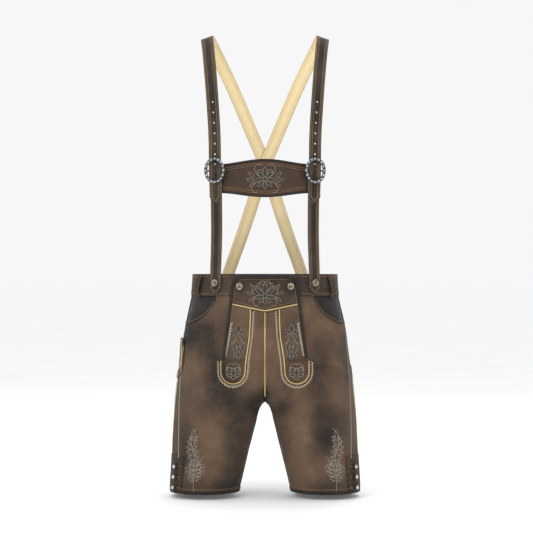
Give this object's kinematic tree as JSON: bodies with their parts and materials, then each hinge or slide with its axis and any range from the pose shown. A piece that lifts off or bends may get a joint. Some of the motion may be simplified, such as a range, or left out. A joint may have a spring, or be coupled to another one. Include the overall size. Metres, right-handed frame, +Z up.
{
  "type": "short leather trousers with braces (lederhosen)",
  "caption": "Short brown leather trousers with an embroidered drop flap, piped seams, side pockets and H-shaped braces with oval buckles, filled out as if worn.",
  "frame": {"origin": "the point midway between the two braces where they rest on the wearer's shoulders", "axes": "+Z up, the garment faces -Y, +X towards the wearer's left side"},
  "size_m": [0.4304, 0.254, 1.0255],
  "materials": {
    "leather": "napped leather, brown, with a brushed dark patina",
    "dark_leather": "smooth matt, near black brown",
    "cream_leather": "natural cream leather",
    "buckle_metal": "antique silver plating, darkened in the relief",
    "horn": "light horn, rubbed, with a dark rim",
    "dark_horn": "dark rim round a pale domed centre"
  },
  "bodies": {
    "root": {"front_leg_left": "leather", "front_leg_right": "leather", "back_leg_left": "leather", "back_leg_right": "leather", "waistband_front_left": "leather", "waistband_front_right": "leather", "waistband_back": "leather", "latz_top": "leather", "latz_side_left": "leather", "latz_side_right": "leather", "latz_end_left": "leather", "latz_end_right": "leather", "knife_pocket_right": "leather", "belt_loop_left": "leather", "belt_loop_right": "leather", "belt_loop_back": "leather", "side_placket_left": "leather", "side_placket_right": "leather", "strap_left": "leather", "strap_right": "leather", "lower_strap_left": "leather", "lower_strap_right": "leather", "crossbar": "leather", "latz_binding": "dark_leather", "pocket_facing_left": "dark_leather", "pocket_facing_right": "dark_leather", "pocket_binding_left": "dark_leather", "pocket_binding_right": "dark_leather", "hem_band_left": "dark_leather", "hem_band_right": "dark_leather", "crossbar_binding_top": "dark_leather", "crossbar_binding_bottom": "dark_leather", "piping_v_seam": "cream_leather", "piping_centre": "cream_leather", "piping_knife_pocket": "cream_leather", "piping_tongue_left": "cream_leather", "piping_tongue_right": "cream_leather", "piping_side_left": "cream_leather", "piping_side_right": "cream_leather", "strap_backing_left": "cream_leather", "strap_backing_right": "cream_leather", "buckle_left": "buckle_metal", "buckle_right": "buckle_metal", "buckle_prong_left": "buckle_metal", "buckle_prong_right": "buckle_metal", "button_strap_front_left": "horn", "button_strap_front_right": "horn", "button_strap_back_left": "horn", "button_strap_back_right": "horn", "button_latz_left": "horn", "button_latz_right": "horn", "button_leg_left_1": "dark_horn", "button_leg_left_2": "dark_horn", "button_leg_left_3": "dark_horn", "button_leg_right_1": "dark_horn", "button_leg_right_2": "dark_horn", "button_leg_right_3": "dark_horn"}
  },
  "joints": []
}
